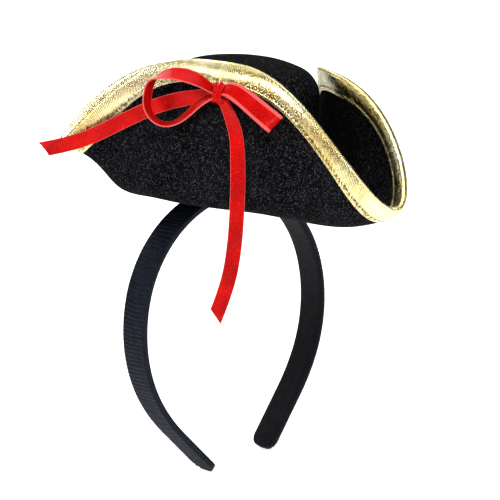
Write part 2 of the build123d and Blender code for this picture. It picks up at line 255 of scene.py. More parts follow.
def brim_place(angle, t):
    """The middle of the felt, from the crown (t = 0) to the rim (t = 1)."""
    angle = (np.asarray(angle, float) + 240) % 360 - 240
    near = np.where(angle < -180, angle + 360, angle)
    front = np.abs(near) < 60
    reach = np.where(front, FRONT_REACH, BACK_REACH)
    corner = np.where(front, FRONT_CORNER, np.where(near > 0, LEFT_CORNER, RIGHT_CORNER))
    height = np.where(angle < -120, BACK_FLAP, np.where(angle < 0, FRONT_FLAP, LEFT_FLAP))
    share = corner_share(angle, REACH_SHARPNESS)
    rim = (
        FLAP_RADIUS + (reach - FLAP_RADIUS) * share,
        height + (corner - height) * corner_share(angle, HEIGHT_SHARPNESS),
    )
    root = (CROWN_RADIUS, FELT / 2)
    level = (CROWN_RADIUS + BASE_RUN * (1 + 0.5 * share), FELT / 2 - BASE_SAG)
    flap_bow = (FLAP_RADIUS + FOLD_BULGE, height * FOLD_HEIGHT)
    keel = (
        reach * np.where(front, FRONT_KEEL[0], BACK_KEEL[0]),
        corner * np.where(front, FRONT_KEEL[1], BACK_KEEL[1]),
    )
    bow = [f + (k - f) * share for f, k in zip(flap_bow, keel)]
    weights = ((1 - t) ** 3, 3 * t * (1 - t) ** 2, 3 * t * t * (1 - t), t**3)
    outward, up = (sum(w * c[i] for w, c in zip(weights, (root, level, bow, rim))) for i in (0, 1))
    return on_hat(angle, outward, up)


def brim_frame(angle, t):
    """Place, outward normal and direction towards the rim."""
    step = 0.002
    along = unit(brim_place(angle, np.minimum(t + step, 1)) - brim_place(angle, np.maximum(t - step, 0)))
    around = brim_place(angle + 0.2, t) - brim_place(angle - 0.2, t)
    return brim_place(angle, t), unit(np.cross(around, along)), along


def brim_shares(angles, drops):
    """The t at each length down from the rim, one row for each angle."""
    fine = np.linspace(1, 0, 241)
    line = brim_place(*np.broadcast_arrays(angles[:, None], fine[None]))
    runs = np.linalg.norm(np.diff(line, axis=1), axis=2)
    lengths = np.concatenate([np.zeros((len(angles), 1)), np.cumsum(runs, axis=1)], axis=1)
    return np.stack([np.interp(drops, row, fine) for row in lengths])


def crowded_angles(per_flap):
    """Angles round the brim, closer together at its three corners."""
    turns = np.arange(3 * per_flap) / per_flap
    return 120 * (turns - CORNER_CROWDING * np.sin(tau * turns) / tau) - 240


def rim_walk(count):
    """Angles at even lengths round the rim, and those lengths, the last one closing the ring."""
    angles = np.append(crowded_angles(800), 120.0)
    line = brim_place(angles, np.ones_like(angles))
    at = np.concatenate([[0], np.cumsum(np.linalg.norm(np.diff(line, axis=0), axis=1))])
    want = np.linspace(0, at[-1], count + 1)
    return np.interp(want, at, angles), want


# ---------------------------------------------------------------- felt pieces

def make_brim(finish):
    """The felt brim, 2 mm thick, with a ledge under the crown's wall and a slight unevenness."""
    angles = crowded_angles(170)
    shares = np.linspace(0, 1, 46)
    a, t = np.meshgrid(angles, shares, indexing="ij")
    place, normal, _ = brim_frame(a, t)
    uneven = waves([(place[..., k], 1) for k in range(3)], 9, 14, 60, 5) * 0.16 * np.sin(pi * t) ** 0.5
    place = place + normal * uneven[..., None]
    inside = np.full_like(angles, CROWN_RADIUS - FELT)
    ledge = on_hat(angles, inside, np.full_like(angles, FELT / 2))[:, None]
    down = np.broadcast_to(-HAT_Z, ledge.shape)
    place = np.concatenate([ledge, place], axis=1)
    normal = np.concatenate([down, normal], axis=1)
    shell = np.concatenate([place + normal * FELT / 2, (place - normal * FELT / 2)[:, ::-1]], axis=1)
    brim = skin("brim_felt", shell, around=True, across=True)
    finish_piece(brim, "hat", finish)
    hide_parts(*BRIM_NODES)
    half_surface(brim)


def half_surface(obj):
    """Half a closed mesh's surface: the area of the cloth that it is made of, in square metres."""
    work = bmesh.new()
    work.from_mesh(obj.data)
    area = sum(f.calc_area() for f in work.faces) / 2
    work.free()
    return area


def crown_profile():
    """Outside of the crown from its foot to its middle: reach, height and the direction that it faces."""
    drop = CROWN_RADIUS - CROWN_EDGE_RADIUS
    climb = CROWN_EDGE_HEIGHT - CROWN_WALL_TOP
    edge_radius = (drop**2 + climb**2) / (2 * drop)
    cap = CROWN_TOP - CROWN_EDGE_HEIGHT
    sphere = (CROWN_EDGE_RADIUS**2 + cap**2) / (2 * cap)
    wall = [(CROWN_RADIUS, z, 0.0) for z in np.linspace(FELT, CROWN_WALL_TOP, 22)]
    bend = asin(climb / edge_radius)
    edge = [
        (CROWN_RADIUS - edge_radius * (1 - cos(a)), CROWN_WALL_TOP + edge_radius * sin(a), a)
        for a in np.linspace(0, bend, 14)[1:]
    ]
    lean = asin(CROWN_EDGE_RADIUS / sphere)
    top = [
        (sphere * sin(a), CROWN_TOP - sphere * (1 - cos(a)), pi / 2 - a)
        for a in np.linspace(lean, 0, 14)[1:]
    ]
    return np.array(wall + edge + top)


def make_crown(finish):
    """The felt crown, slightly dented, open below."""
    reach, height, facing = crown_profile().T
    angles = np.linspace(0, 360, 160, endpoint=False)
    a, r = np.meshgrid(angles, reach, indexing="ij")
    z = np.broadcast_to(height, r.shape)
    outside = on_hat(a, r, z)
    outward = on_hat(a, r + np.cos(facing), z + np.sin(facing)) - outside
    middle = np.clip((z - 8) / 14, 0, 1) * np.clip(r / 12, 0, 1)
    dent = waves([(outside[..., k], 1) for k in range(3)], 8, 26, 70, 3) * 0.45 * middle
    outside = outside + outward * dent[..., None]
    inside = outside - outward * FELT
    inside[:, -1] = inside[:1, -1]
    outside[:, -1] = outside[:1, -1]
    crown = skin("crown_felt", np.concatenate([outside, inside[:, ::-1]], axis=1), around=True, across=True)
    finish_piece(crown, "hat", finish)
    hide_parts("crown_shell")
    half_surface(crown)


# ---------------------------------------------------------------- binding

GROOVE_DROP = 8.6  # the stitched groove, from the rim
STITCH_PITCH = 2.2
BINDING_LIFT = 0.18  # the cloth's outside, off the felt
BINDING_UNDER = 0.03  # and its inside


def binding_height(drop):
    """How far the smooth binding stands off the felt, at a length down from the rim."""
    pillow = 0.72 * np.sin(pi * np.clip(drop / GROOVE_DROP, 0, 1)) ** 0.75
    hem_width = BINDING_WIDTH - GROOVE_DROP
    hem = 0.34 * np.sin(pi * np.clip((drop - GROOVE_DROP) / hem_width, 0, 1)) ** 0.8
    return BINDING_LIFT + pillow + hem


def binding_wrinkle(around, drop, side):
    """Puckers drawn in by the stitches, and looser creases between them and the rim."""
    pucker_reach = np.exp(-np.abs(drop - GROOVE_DROP) / 2.4)
    sway = 0.22 * np.sin(around / 9.0 + side) + 0.03 * drop * side
    pucker = np.cos(tau * around / STITCH_PITCH + sway) * 0.17 * pucker_reach
    patchy = 0.55 + 0.45 * waves([(around, 1)], 5, 25, 90, 40 + side)
    creases = waves([(around, 1), (drop, 0.35)], 16, 1.6, 7.0, 60 + side) * 0.11
    body = np.sin(pi * np.clip((drop - 0.4) / 10.4, 0, 1)) ** 0.5
    return pucker * np.clip(patchy, 0.3, 1.3) + creases * body * np.clip(patchy, 0.25, 1.2)


def make_binding(finish):
    """Metallic cloth folded over the rim, padded between it and the stitches. Gives the number of stitches."""
    angles, around = rim_walk(1560)
    stitches = round(around[-1] / STITCH_PITCH)
    around = around * stitches * STITCH_PITCH / around[-1]
    drops = np.array([11, 10.7, 10.2, 9.6, 9.1, 8.6, 8.1, 7.5, 6.7, 5.8, 4.9, 4.0, 3.1, 2.2, 1.4, 0.7])
    t = brim_shares(angles[:-1], drops)
    place, normal, _ = brim_frame(*np.broadcast_arrays(angles[:-1, None], t))
    rim, rim_normal, rim_along = brim_frame(angles[:-1], np.ones(len(angles) - 1))
    lengths = np.broadcast_arrays(around[:-1, None], drops[None])
    sides = []
    for side in (1, -1):
        stand = FELT / 2 + binding_height(lengths[1]) + binding_wrinkle(*lengths, side)
        sides.append(place + normal * (side * stand)[..., None])
    bend = np.linspace(0, pi, 9)[1:-1]
    half = FELT / 2 + binding_height(0.0) + 0.12
    rim_creases = waves([(around[:-1], 1)], 14, 2.0, 9.0, 77) * 0.07
    fullness = 0.95
    rounded = [
        rim + rim_normal * half * cos(b) + rim_along * ((fullness + rim_creases) * sin(b))[:, None]
        for b in bend
    ]
    outer = np.concatenate([sides[0], np.stack(rounded, 1), sides[1][:, ::-1]], axis=1)
    low = FELT / 2 + BINDING_UNDER
    under = [place[:, k] - normal[:, k] * low for k in (0, 5, 10, 15)]
    under += [place[:, k] + normal[:, k] * low for k in (15, 10, 5, 0)]
    shell = np.concatenate([outer, np.stack(under, 1)], axis=1)
    over = np.concatenate([[0], np.cumsum(np.linalg.norm(np.diff(shell[0], axis=0), axis=1))])
    uv = grid_uv(around, np.append(over, over[-1] + 0.5))
    binding = skin("binding_gold", shell, around=True, across=True, uv=uv)
    finish_piece(binding, "hat", finish)
    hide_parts("brim_binding")
    return stitches


def make_stitches(finish, stitches):
    """A row of short stitches in the groove on each side of the brim."""
    angles, _ = rim_walk(stitches * 4)
    corners = 6
    ring = np.linspace(0, tau, corners, endpoint=False)
    rungs = np.array([-1.0, -0.86, -0.4, 0.4, 0.86, 1.0])
    girth = np.array([0.25, 0.72, 1.0, 1.0, 0.72, 0.25])
    half_length, radius, sink = 0.62, 0.2, 0.16
    t = brim_shares(angles[:-1], np.array([GROOVE_DROP]))[:, 0]
    place, normal, along = brim_frame(angles[:-1], t)
    points, faces = [], []
    rng = np.random.default_rng(11)
    middles = np.arange(stitches) * 4 + 2
    for side in (1, -1):
        for k in middles:
            stand = FELT / 2 + BINDING_LIFT + sink
            heading = unit(place[(k + 1) % len(place)] - place[k - 1]) + along[k] * rng.normal(0, 0.1)
            out = normal[k] * side
            over = unit(np.cross(out, heading))
            centre = place[k] + out * stand
            base = len(points)
            for rung, g in zip(rungs, girth):
                at = centre + heading * rung * half_length - out * (sink * rung * rung)
                for c, s in zip(np.cos(ring), np.sin(ring)):
                    points.append(at + (over * c + out * s) * radius * g)
            for m in range(len(rungs) - 1):
                for n in range(corners):
                    a, b = base + m * corners + n, base + m * corners + (n + 1) % corners
                    faces.append((a, b, b + corners, a + corners))
            far = base + (len(rungs) - 1) * corners
            faces.append(tuple(base + n for n in range(corners)))
            faces.append(tuple(far + n for n in reversed(range(corners))))
    mesh = bpy.data.meshes.new("binding_stitches")
    mesh.from_pydata((np.array(points) * MM).tolist(), [], faces)
    finish_piece(tidy("binding_stitches", mesh), "hat", finish)


# ---------------------------------------------------------------- ribbon pieces

def ribbon(name, line, across, width, narrow, gather, twist_noise, seed, cup=0.0, slant=0.0):
    """A flat ribbon along a line, given the direction of its width. narrow gives its width's share along
    it, gather creases its start and its end, cup bows its face and slant cuts its far end askew."""
    thickness = 0.42
    at, line, across = evenly(line, 0.5, across)
    tangent = unit(np.gradient(line, axis=0))
    across = unit(across - tangent * (across * tangent).sum(1, keepdims=True))
    normal = np.cross(tangent, across)
    v = np.array([-0.5, -0.485, -0.44, -0.38, -0.27, -0.14, 0.0, 0.14, 0.27, 0.38, 0.44, 0.485, 0.5])
    edge = [0.25, 0.62, 0.66, 0.5, 0.46, 0.45]
    half = thickness * np.array(edge + [0.45] + edge[::-1])
    share = np.interp(at / at[-1], *narrow)
    sway = waves([(at[:, None], 1), (v[None] * width, 1.5)], 7, 6, 26, seed)
    bend = cup * (1 - (2 * v) ** 2)[None] + twist_noise * sway
    near_end = np.exp(-at / 5.0) + np.exp(-(at[-1] - at) / 5.0)
    creases = np.sin(v * 21 + seed) * 0.6 + np.sin(v * 34 + 2 * seed) * 0.4
    bend = bend + gather * near_end[:, None] * creases[None]
    shift = slant * v[None] * np.clip((at[:, None] - at[-1] + 6) / 6, 0, 1) ** 2
    middle = (
        line[:, None]
        + across[:, None] * (v[None, :, None] * width * share[:, None, None])
        + normal[:, None] * bend[..., None]
        + tangent[:, None] * shift[..., None]
    )
    top = middle + normal[:, None] * half[None, :, None]
    low = middle - normal[:, None] * half[None, :, None]
    points = np.concatenate([top, low[:, ::-1]], axis=1)
    over = np.concatenate([v, v[::-1]]) * width
    return skin(name, points, across=True, caps=True, uv=grid_uv(at, np.append(over, over[0])))


def bow_frame():
    """The bow's place on the flap: its origin, x towards the wearer's left, y up the flap, z out of it."""
    angle = np.array([BOW_ANGLE])
    t = brim_shares(angle, np.array([BOW_DROP]))[:, 0]
    place, out, _ = brim_frame(angle, t)
    turn = radians(BOW_ANGLE)
    outward = HAT_X * sin(turn) - HAT_Y * cos(turn)
    x = -np.cross(outward, HAT_Z)
    x = unit(x - out[0] * (x @ out[0]))
    return place[0] + out[0] * FELT / 2, np.stack([x, np.cross(out[0], x), out[0]])


BOW_ORIGIN, BOW_AXES = bow_frame()


def on_bow(points):
    return BOW_ORIGIN + np.asarray(points, float) @ BOW_AXES


def toward_bow(vectors):
    return np.asarray(vectors, float) @ BOW_AXES


# Each loop: its line and the direction of the ribbon's width, in the bow's frame
LEFT_LOOP = [
    ((-0.5, -0.2, 3.0), (0.0, 0.75, -0.66)),
    ((-2.6, 0.6, 4.4), (0.0, 0.80, -0.60)),
    ((-5.6, 2.0, 6.4), (0.0, 0.86, -0.50)),
    ((-9.8, 3.6, 8.0), (0.0, 0.92, -0.38)),
    ((-14.4, 4.6, 9.4), (0.0, 0.94, -0.32)),
    ((-20.0, 4.8, 10.4), (0.05, 0.92, -0.38)),
    ((-26.6, 3.4, 10.6), (0.15, 0.82, -0.55)),
    ((-30.8, -0.8, 10.0), (0.15, 0.40, -0.90)),
    ((-31.4, -6.6, 9.0), (0.20, 0.05, -0.98)),
    ((-30.6, -12.6, 8.2), (0.25, 0.10, -0.96)),
    ((-26.6, -17.8, 7.2), (0.10, 0.40, -0.91)),
    ((-20.0, -19.0, 6.0), (-0.05, 0.62, -0.78)),
    ((-14.4, -16.0, 5.2), (-0.30, 0.66, -0.70)),
    ((-9.8, -9.8, 4.6), (-0.40, 0.66, -0.64)),
    ((-6.4, -4.6, 4.2), (-0.36, 0.72, -0.60)),
    ((-1.0, -0.8, 3.0), (-0.2, 0.78, -0.60)),
]
RIGHT_LOOP = [
    ((0.4, 0.2, 3.4), (0.30, 0.95, 0.0)),
    ((3.6, 1.6, 5.0), (0.44, 0.90, 0.0)),
    ((8.4, 0.4, 7.0), (0.54, 0.84, 0.0)),
    ((15.0, -3.8, 8.2), (0.55, 0.83, 0.0)),
    ((22.6, -8.8, 9.2), (0.55, 0.83, 0.0)),
    ((28.6, -12.6, 9.8), (0.55, 0.83, 0.0)),
    ((31.6, -14.4, 9.6), (0.55, 0.83, 0.0)),
    ((32.0, -14.6, 7.6), (0.55, 0.83, 0.0)),
    ((28.6, -12.2, 6.6), (0.55, 0.83, 0.0)),
    ((20.0, -6.4, 5.4), (0.55, 0.83, 0.0)),
    ((11.0, -0.6, 4.4), (0.54, 0.84, 0.0)),
    ((4.6, 2.2, 3.2), (0.42, 0.90, 0.0)),
    ((0.5, 0.6, 2.2), (0.30, 0.95, 0.0)),
]
TAIL_ROUTE = [
    (-28.8, -36.6, 114.5),
    (-29.7, -46.4, 103.4),
    (-33.3, -50.6, 87.4),
    (-35.3, -51.0, 69.4),
    (-37.0, -49.4, 48.4),
    (-40.0, -46.4, 29.3),
    (-44.3, -41.7, 15.2),
]
SIDE_ROUTE = [
    (-29.0, -36.0, 116.2),
    (-39.5, -15.6, 113.4),
    (-52.1, 2.3, 104.2),
    (-61.4, 14.0, 97.0),
    (-68.2, 25.8, 92.0),
    (-74.0, 38.5, 89.0),
]


def make_loops(finish):
    """The bow's open left loop and its flat right loop."""
    for name, loop, node, width, narrow, seed in (
        ("bow_left", LEFT_LOOP, "bow_loop_left", 7.4,
         ((0, 0.06, 0.14, 0.85, 0.95, 1), (0.7, 0.85, 1, 1, 0.85, 0.7)), 4),
        ("bow_right", RIGHT_LOOP, "bow_loop_right", 9.6,
         ((0, 0.06, 0.14, 0.45, 0.88, 0.95, 1), (0.5, 0.72, 0.84, 1, 0.9, 0.75, 0.5)), 7),
    ):
        line = nurbs([p for p, _ in loop], order=4)
        across = nurbs([w for _, w in loop], order=4)
        piece = ribbon(name, on_bow(line), toward_bow(across), width, gather=0.3, seed=seed, narrow=narrow,
                       twist_noise=0.1)
        finish_piece(piece, "hat", finish)
        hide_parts(node)


def make_knot(finish):
    """The short wrap of ribbon round the bow's middle, crumpled; the CAD knot is hidden."""
    turns = np.linspace(0, tau, 90)
    height, depth, lean = 4.3, 2.5, 0.12
    line = np.stack([0.25 + lean * height * np.cos(turns) * 0.5, height * np.cos(turns) - 0.4,
                     2.9 + depth * np.sin(turns)], -1)
    across = np.tile([1.0, -lean, 0.0], (len(turns), 1))
    at, line, across = evenly(line, 0.25, across)
    v = np.linspace(-0.5, 0.5, 15)
    tangent = unit(np.gradient(line, axis=0))
    normal = unit(np.cross(tangent, across))
    outward = np.sign(((line - line.mean(0)) * normal).sum(1, keepdims=True))
    normal = normal * np.median(outward)
    mean_width = 5.4
    width = mean_width + 0.9 * np.sin(at / at[-1] * tau * 2 + 1)
    folds = 0.34 * np.sin(v[None] * 17 + 0.5 * np.sin(at[:, None] / 2.2)) * (1 - (2 * np.abs(v)) ** 4)[None]
    folds = folds + 0.2 * waves([(at[:, None], 1), (v[None] * 5, 1)], 8, 2.0, 6.0, 9)
    dome = 0.55 * (1 - (2 * v) ** 2)[None]
    middle = line[:, None] + across[:, None] * (v[None] * width[:, None])[..., None]
    middle = middle + normal[:, None] * (folds + dome)[..., None]
    top, low = middle + normal[:, None] * 0.2, middle - normal[:, None] * 0.2
    points = np.concatenate([top, low[:, ::-1]], axis=1)
    over = np.concatenate([v, v[::-1]]) * mean_width
    uv = grid_uv(at, np.append(over, over[0]))
    knot = skin("bow_wrap", on_bow(points), across=True, caps=True, uv=uv)
    finish_piece(knot, "hat", finish)
    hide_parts("bow_knot")


def make_tails(finish):
    """The two free tails: one hangs in front of the flap, one runs along it to the side."""
    hanging = nurbs(TAIL_ROUTE)
    across = nurbs([(0.60, -0.80, 0.0), (0.66, -0.75, 0.0), (0.74, -0.67, 0.0), (0.74, -0.67, 0.0),
                    (0.76, -0.65, 0.02), (0.72, -0.69, 0.0), (0.66, -0.75, 0.0)])
    piece = ribbon("tail_hanging", hanging, across, RIBBON_WIDTH, cup=0.35, gather=0.2, slant=5.0, seed=12,
                   narrow=((0, 0.03, 0.12, 0.3, 1), (0.62, 0.66, 0.86, 0.97, 1)), twist_noise=0.16)
    declare_tail(piece, "ribbon_tail_hanging", finish)
    side = nurbs(SIDE_ROUTE)
    across = nurbs([(-0.05, 0.30, 0.95), (-0.05, 0.15, 0.99), (-0.05, 0.15, 0.99), (-0.02, 0.1, 0.99),
                    (0.0, 0.2, 0.98), (0.05, 0.3, 0.95)])
    piece = ribbon("tail_side", side, across, RIBBON_WIDTH, cup=0.3, gather=0.2, slant=4.0, seed=15,
                   narrow=((0, 0.05, 0.2, 1), (0.6, 0.75, 1, 1)), twist_noise=0.16)
    declare_tail(piece, "ribbon_tail_side", finish)


def declare_tail(piece, node, finish):
    """Gives a tail its material and body, and hides its CAD node."""
    finish_piece(piece, "hat", finish)
    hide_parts(node)


# ---------------------------------------------------------------- headband

def band_line(at):
    """The left leg's centreline: places and outward directions at lengths from the top of the arc."""
    spans = [(ARCH_RADIUS, ARCH_ANGLE), (SHOULDER_RADIUS, SHOULDER_ANGLE), (CHEEK_RADIUS, CHEEK_ANGLE)]
    x, z, turn = 0.0, ARCH_RADIUS, 0.0
    place, outward = np.zeros((len(at), 3)), np.zeros((len(at), 3))
    start = 0.0
    for radius, angle in spans + [(None, 0.0)]:
        run = LEG_STRAIGHT + 5 if radius is None else radius * radians(angle)
        here = (at >= start) & ((at <= start + run) | (radius is None))
        gone = at[here] - start
        if radius is None:
            a = np.full(gone.shape, turn)
            px, pz = x + gone * cos(turn), z - gone * sin(turn)
        else:
            a = turn + gone / radius
            px, pz = x + radius * (np.sin(a) - sin(turn)), z + radius * (np.cos(a) - cos(turn))
        place[here] = np.stack([px, np.zeros_like(px), pz], -1)
        outward[here] = np.stack([np.sin(a), np.zeros_like(a), np.cos(a)], -1)
        if radius is not None:
            end = turn + radians(angle)
            x, z = x + radius * (sin(end) - sin(turn)), z + radius * (cos(end) - cos(turn))
            turn, start = end, start + run
    return place, outward


LEG_LENGTH = (
    ARCH_RADIUS * radians(ARCH_ANGLE)
    + SHOULDER_RADIUS * radians(SHOULDER_ANGLE)
    + CHEEK_RADIUS * radians(CHEEK_ANGLE)
    + LEG_STRAIGHT
)


def leg_half_width(at, half):
    """Half the band's width, rounded off at the leg's end."""
    past = np.clip((at - (LEG_LENGTH - LEG_END_RADIUS)) / LEG_END_RADIUS, 0, 1)
    return half - LEG_END_RADIUS * (1 - np.sqrt(1 - past**2))


def leg_strip(name, section, ribs, side, seed):
    """Cloth along one half of the band. section gives (across, out) points, the top row first."""
    body = np.arange(0, LEG_LENGTH - LEG_END_RADIUS, 0.36)
    end = LEG_LENGTH - LEG_END_RADIUS * (1 - np.sin(np.linspace(0, pi / 2, 18)))
    at = np.concatenate([body, end])
    place, outward = band_line(at)
    across, out = np.array(section, float).T
    width = leg_half_width(at, BAND_WIDTH / 2) / (BAND_WIDTH / 2)
    y = across[None] * width[:, None]
    rise = np.broadcast_to(out, y.shape).copy()
    if ribs:
        rise += band_ribs(at[:, None], y, seed) * np.clip((out - 0.9) / 0.5, 0, 1)[None]
    points = place[:, None] + outward[:, None] * rise[..., None]
    points[..., 1] += y
    points[..., 0] *= side
    over = np.concatenate([[0], np.cumsum(np.linalg.norm(np.diff(section, axis=0), axis=1))])
    uv = grid_uv(at, np.append(over, over[-1]))
    return skin(name, points, across=True, caps=True, uv=uv)


def band_ribs(at, y, seed):
    """Uneven crosswise gathers about 2 mm apart, flatter near the side edges."""
    flat = np.clip((BAND_WIDTH / 2 - np.abs(y)) / 1.6, 0, 1)
    drift = 0.5 * waves([(at, 1), (y, 1)], 6, 16, 50, seed)
    wander = 1.1 * waves([(at, 0.3), (y, 1)], 6, 9, 30, seed + 1)
    main = np.sin(tau * (at + wander * 0.45) / 2.05 + drift * 3)
    second = np.sin(tau * (at + wander * 0.8) / 1.27 + 2.0)
    loose = waves([(at, 1), (y, 0.5)], 9, 3.0, 9.0, seed + 2)
    return flat * (0.15 * main + 0.05 * second + 0.07 * loose)


def cover_section():
    """Outside of the cover over the core, then its inside."""
    top = CORE / 2 + COVER
    half = BAND_WIDTH / 2
    corner = 0.75
    bend = np.linspace(0, pi / 2, 5)
    low = -CORE / 2 + 0.05
    left = [(-half + 0.12, low), (-half, 0.0)]
    left += [(-half + corner * (1 - cos(a)), top - corner * (1 - sin(a))) for a in bend]
    flat = [(y, top) for y in np.linspace(-half + 1.3, half - 1.3, 17)]
    right = [(-y, z) for y, z in reversed(left)]
    outside = left + flat + right
    inner = half - COVER
    walls = [(inner, low), (inner, 0.0), (inner, CORE / 2)]
    count = len(outside) - 2 * len(walls)
    roof = [(y, CORE / 2) for y in np.linspace(inner, -inner, count + 2)[1:-1]]
    return outside + walls + roof + [(-y, z) for y, z in reversed(walls)]


def lining_section():
    """A thin strip under the core, rounded at its sides."""
    half, low = BAND_WIDTH / 2 - 0.1, -CORE / 2 - LINING
    top = -CORE / 2 - 0.02
    ys = np.linspace(-half + 0.4, half - 0.4, 9)
    outside = [(-half, (top + low) / 2 + 0.1)] + [(y, low) for y in ys] + [(half, (top + low) / 2 + 0.1)]
    inside = [(half - 0.1, top)] + [(y, top) for y in ys[::-1]] + [(-half + 0.1, top)]
    return outside + inside


def make_band(cover_finish, lining_finish):
    """Cover and lining of each half of the band."""
    flex_at = ARCH_RADIUS * radians(FLEX_ANGLE)
    ends, _ = band_line(np.array([flex_at - FLEX_REACH, flex_at + FLEX_REACH]))
    for side, leg in ((1, "left"), (-1, "right")):
        cover = leg_strip(f"cover_{leg}", cover_section(), True, side, 20 + side)
        lining = leg_strip(f"lining_{leg}", lining_section(), False, side, 30 + side)
        for piece, finish, slot, kind in (
            (cover, cover_finish, "band_satin", "cover"),
            (lining, lining_finish, "band_lining", "lining"),
        ):
            piece.data.materials.append(finish)
            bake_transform(piece)
            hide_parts(f"band_{kind}_top", f"band_{kind}_{leg}")


# ---------------------------------------------------------------- materials

class Finish:
    """A material and short ways to add nodes to it."""

    def __init__(self, name, **plain):
        self.material = bpy.data.materials.new(name)
        self.material.use_nodes = True
        self.tree = self.material.node_tree
        self.shader = self.tree.nodes["Principled BSDF"]
        for socket, value in plain.items():
            self.shader.inputs[socket.replace("_", " ")].default_value = value

    def add(self, kind, sockets=None, **settings):
        node = self.tree.nodes.new(kind)
        for key, value in settings.items():
            setattr(node, key, value)
        for key, value in (sockets or {}).items():
            self.put(node.inputs[key], value)
        return node

    def put(self, socket, value):
        if isinstance(value, bpy.types.NodeSocket):
            self.tree.links.new(value, socket)
        else:
            socket.default_value = value

    def coordinates(self, stretch=(1, 1, 1), kind="Object"):
        place = self.add("ShaderNodeTexCoord").outputs[kind]
        return self.add("ShaderNodeMapping", {"Vector": place, "Scale": stretch}).outputs["Vector"]

    def noise(self, scale, detail=2.0, roughness=0.5, where=None, distortion=0.0):
        sockets = {"Scale": scale, "Detail": detail, "Roughness": roughness, "Distortion": distortion}
        sockets["Vector"] = self.coordinates() if where is None else where
        return self.add("ShaderNodeTexNoise", sockets).outputs["Fac"]

    def ramp(self, fac, *stops):
        node = self.add("ShaderNodeValToRGB", {"Fac": fac})
        ramp = node.color_ramp
        while len(ramp.elements) < len(stops):
            ramp.elements.new(0.5)
        for element, (at, colour) in zip(ramp.elements, stops):
            element.position = at
            element.color = colour if len(colour) == 4 else (*colour, 1)
        return node.outputs["Color"]

    def math(self, operation, a, b=0.0, c=0.0):
        node = self.add("ShaderNodeMath", operation=operation)
        for socket, value in zip(node.inputs, (a, b, c)):
            self.put(socket, value)
        return node.outputs[0]

    def mix(self, fac, a, b, blend="MIX"):
        node = self.add("ShaderNodeMix", data_type="RGBA", blend_type=blend)
        for name, value in (("Factor", fac), ("A", a), ("B", b)):
            sockets = [s for s in node.inputs if s.name == name and s.type in ("VALUE", "RGBA")]
            self.put([s for s in sockets if s.enabled][0], value)
        return [s for s in node.outputs if s.type == "RGBA"][0]

    def bump(self, height, distance, strength=1.0, over=None):
        sockets = {"Height": height, "Distance": distance, "Strength": strength}
        if over is not None:
            sockets["Normal"] = over
        return self.add("ShaderNodeBump", sockets).outputs["Normal"]

    def use(self, **sockets):
        for socket, value in sockets.items():
            self.put(self.shader.inputs[socket.replace("_", " ")], value)
        return self.material


def grey(value):
    return (value, value, value, 1)


def felt_finish():
    """Black felt: matted fibres, sparse pale fibre ends and hardly any gloss."""
    f = Finish("black_felt", Roughness=1.0, Specular_IOR_Level=0.02)
    fibre = f.math("ABSOLUTE", f.math("SUBTRACT", f.noise(760, 2.0, 0.6, distortion=0.7), 0.5))
    thread = f.ramp(fibre, (0.0, grey(1)), (0.014, grey(0)))
    patch = f.ramp(f.noise(600, 2.0), (0.50, grey(0)), (0.60, grey(1)))
    speck = f.ramp(f.noise(1900, 1.0), (0.62, grey(0)), (0.74, grey(1)))
    shade = f.ramp(f.noise(70, 3.0), (0.3, (0.0010, 0.0010, 0.0013)), (0.7, (0.0034, 0.0034, 0.0042)))
    pale = f.mix(f.math("MULTIPLY", thread, patch), shade, (0.10, 0.10, 0.11, 1))
    colour = f.mix(f.math("MULTIPLY", speck, 0.6), pale, (0.11, 0.11, 0.12, 1))
    coarse = f.bump(f.noise(420, 5.0, 0.7), 0.0006, 0.6)
    return f.use(Base_Color=colour, Normal=f.bump(thread, 0.0001, 0.5, coarse))


def gold_finish():
    """Pale gold lame: fine ribs across the binding with painted shade in their valleys, and crumpled foil at
    the stitched groove darkened by painted shade.
    """
    f = Finish("gold_cloth", Metallic=1.0)
    place = f.coordinates((1, 1, 1), "UV")
    rib = f.add("ShaderNodeTexWave", {"Vector": place, "Scale": 330.0, "Distortion": 0.9, "Detail": 2.0,
                                      "Detail Scale": 1.4}, bands_direction="X").outputs["Fac"]
    over = f.add("ShaderNodeSeparateXYZ", {"Vector": place}).outputs["Y"]
    hem = (BINDING_WIDTH - GROOVE_DROP) * MM
    rim_half = 1.2  # half of the way round the rim
    middle = (BINDING_WIDTH + rim_half) * MM
    from_middle = f.math("ABSOLUTE", f.math("SUBTRACT", over, middle))
    from_groove = f.math("ABSOLUTE", f.math("SUBTRACT", from_middle, middle - hem))
    near_groove = f.ramp(f.math("MULTIPLY", from_groove, 1 / (2.6 * MM)), (0.25, grey(1)), (1.0, grey(0)))
    tint = f.ramp(f.noise(32, 2.0, 0.5), (0.36, (0.80, 0.64, 0.26)), (0.52, (0.94, 0.84, 0.46)),
                  (0.66, (1.0, 0.95, 0.66)))
    glint = f.noise(620, 3.0, 0.7, distortion=0.4)
    # Painted shade: near the stitched groove the foil is darkened in crumpled patches to a near-black olive,
    # as shade falling in the groove.
    crumpled = f.ramp(glint, (0.40, grey(1)), (0.50, grey(0)))
    dark = f.math("MULTIPLY", crumpled, f.math("MULTIPLY", near_groove, 0.9))
    groove_shaded_tint = f.mix(dark, tint, (0.12, 0.085, 0.01, 1))
    # Painted shade: the colour darkens in the valleys of the ribs, following the same wave that sinks the
    # bump.
    rib_depth = f.ramp(f.noise(60, 2.0), (0.35, grey(0.25)), (0.65, grey(0.75)))
    painted_rib_shade = f.math("MULTIPLY", f.ramp(rib, (0.05, grey(1)), (0.5, grey(0))), rib_depth)
    colour = f.mix(painted_rib_shade, groove_shaded_tint, (0.42, 0.30, 0.09, 1))
    foil = f.bump(glint, 0.0004, 0.3)
    rough = f.ramp(f.noise(120, 2.0), (0.3, grey(0.30)), (0.7, grey(0.20)))
    return f.use(Base_Color=colour, Roughness=rough, Normal=f.bump(rib, 0.00025, 0.8, foil))


